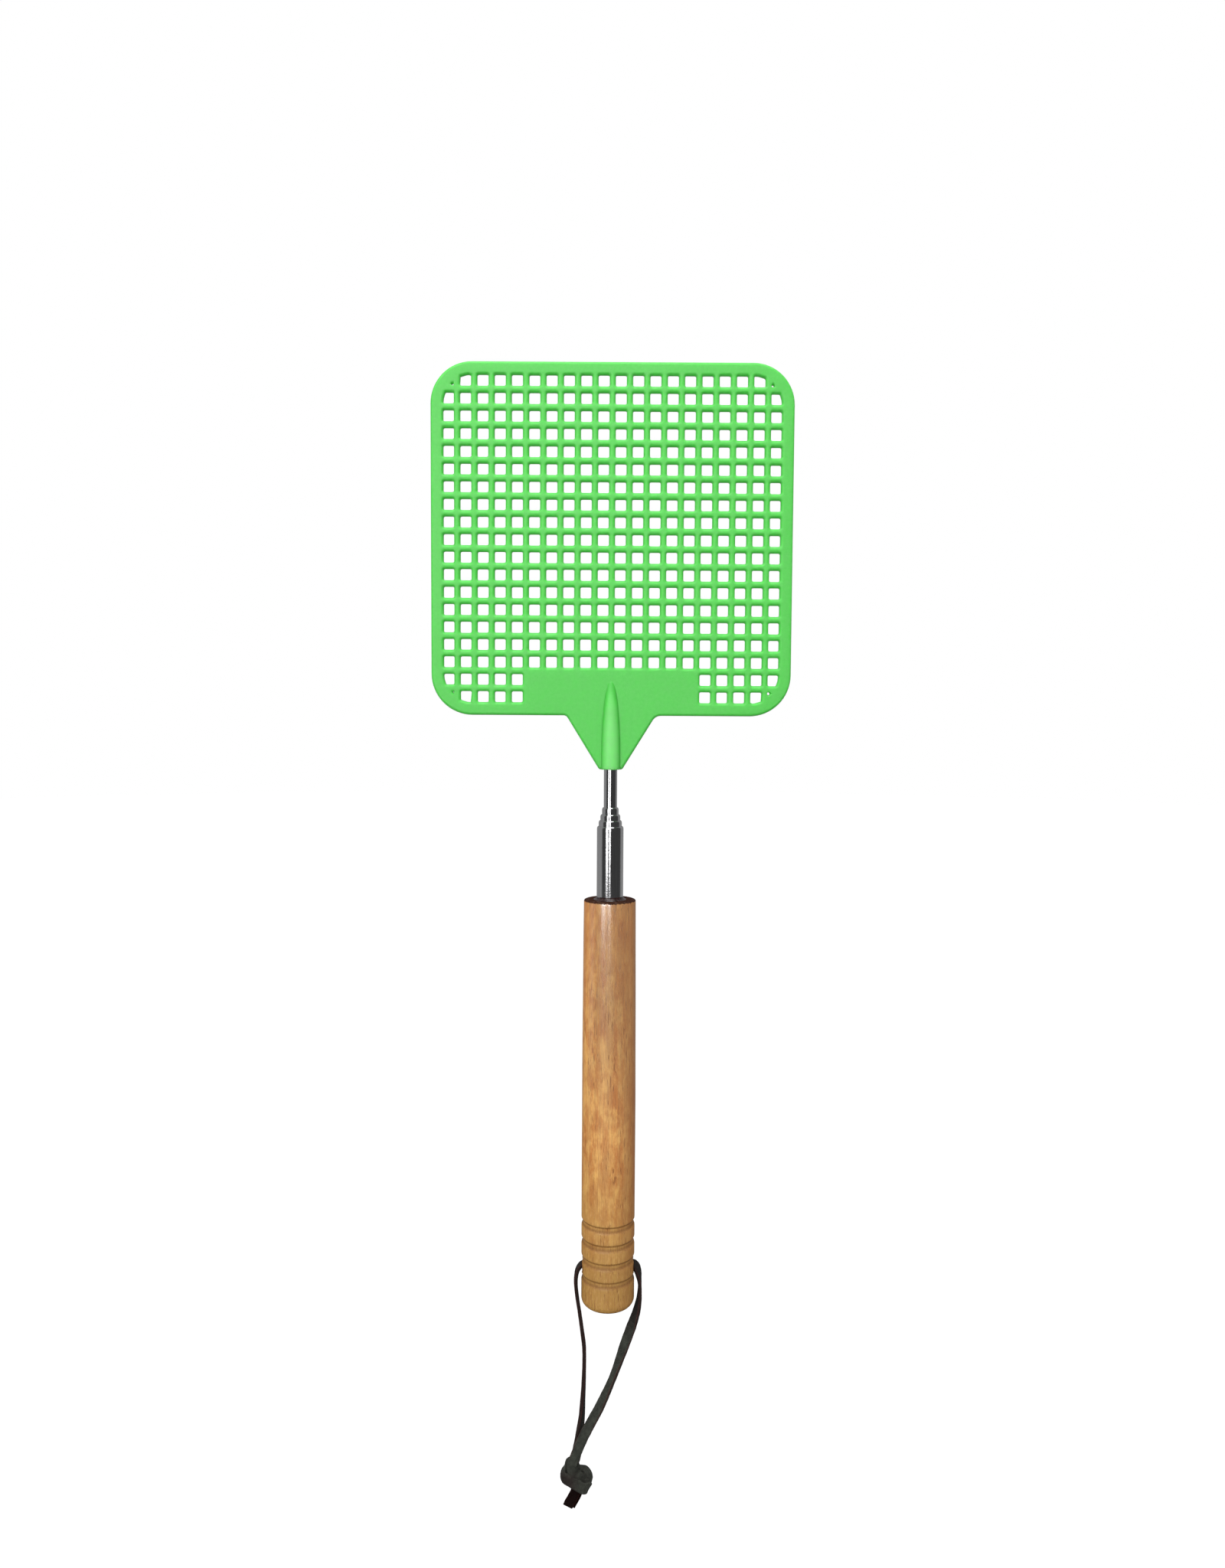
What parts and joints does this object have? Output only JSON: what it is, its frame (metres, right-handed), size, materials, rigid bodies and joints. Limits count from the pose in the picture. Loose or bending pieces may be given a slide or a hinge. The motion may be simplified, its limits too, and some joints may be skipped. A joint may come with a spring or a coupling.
{
  "type": "fly swatter",
  "caption": "Telescopic fly swatter with a square lattice flap, a nested steel rod, a turned wooden handle and a knotted leather wrist loop.",
  "frame": {"origin": "on the handle's axis, half way along the handle, where a hand holds it", "axes": "+Z from the butt of the handle up to the flap, -Y out of the flap's front face, +X to the right seen from the front"},
  "size_m": [0.107, 0.0164, 0.3509],
  "materials": {
    "flap_plastic": "satin moulded",
    "steel": "bright drawn",
    "brass": "plain",
    "handle_wood": "satin varnish",
    "glue": "hardened glue",
    "leather": "napped"
  },
  "bodies": {
    "handle": {"handle": "handle_wood", "glue_bead": "glue", "outer_tube": "steel", "outer_tube_plug": "brass"},
    "second_shims": {"second_tube_front_shim": "brass", "second_tube_rear_shim": "brass"},
    "second_section": {"second_tube": "steel"},
    "middle_shims": {"middle_tube_front_shim": "brass", "middle_tube_rear_shim": "brass"},
    "middle_section": {"middle_tube": "steel"},
    "fourth_shims": {"fourth_tube_front_shim": "brass", "fourth_tube_rear_shim": "brass"},
    "fourth_section": {"fourth_tube": "steel"},
    "tip_shims": {"tip_tube_front_shim": "brass", "tip_tube_rear_shim": "brass"},
    "tip_section": {"tip_tube": "steel", "swatter_flap": "flap_plastic"},
    "lanyard": {"lanyard_left_strand": "leather", "lanyard_right_strand": "leather", "lanyard_knot": "leather", "lanyard_left_tail": "leather", "lanyard_right_tail": "leather"}
  },
  "joints": [
    {"name": "second_tube_slide", "type": "slide", "parent": "handle", "child": "second_shims", "axis": [0, 0, 1], "range_m": [0, 0.1145]},
    {"name": "second_tube_spin", "type": "hinge", "parent": "second_shims", "child": "second_section", "pos_m": [0, 0, 0.05], "axis": [0, 0, 1], "continuous": true},
    {"name": "middle_tube_slide", "type": "slide", "parent": "second_section", "child": "middle_shims", "axis": [0, 0, 1], "range_m": [0, 0.1163]},
    {"name": "middle_tube_spin", "type": "hinge", "parent": "middle_shims", "child": "middle_section", "pos_m": [0, 0, 0.05], "axis": [0, 0, 1], "continuous": true},
    {"name": "fourth_tube_slide", "type": "slide", "parent": "middle_section", "child": "fourth_shims", "axis": [0, 0, 1], "range_m": [0, 0.1181]},
    {"name": "fourth_tube_spin", "type": "hinge", "parent": "fourth_shims", "child": "fourth_section", "pos_m": [0, 0, 0.05], "axis": [0, 0, 1], "continuous": true},
    {"name": "tip_tube_slide", "type": "slide", "parent": "fourth_section", "child": "tip_shims", "axis": [0, 0, 1], "range_m": [0, 0.1202]},
    {"name": "tip_tube_spin", "type": "hinge", "parent": "tip_shims", "child": "tip_section", "pos_m": [0, 0, 0.05], "axis": [0, 0, 1], "continuous": true},
    {"name": "lanyard_swing", "type": "hinge", "parent": "handle", "child": "lanyard", "pos_m": [0, 0, -0.0504], "axis": [1, 0, 0], "range_deg": [-150, 150]}
  ]
}
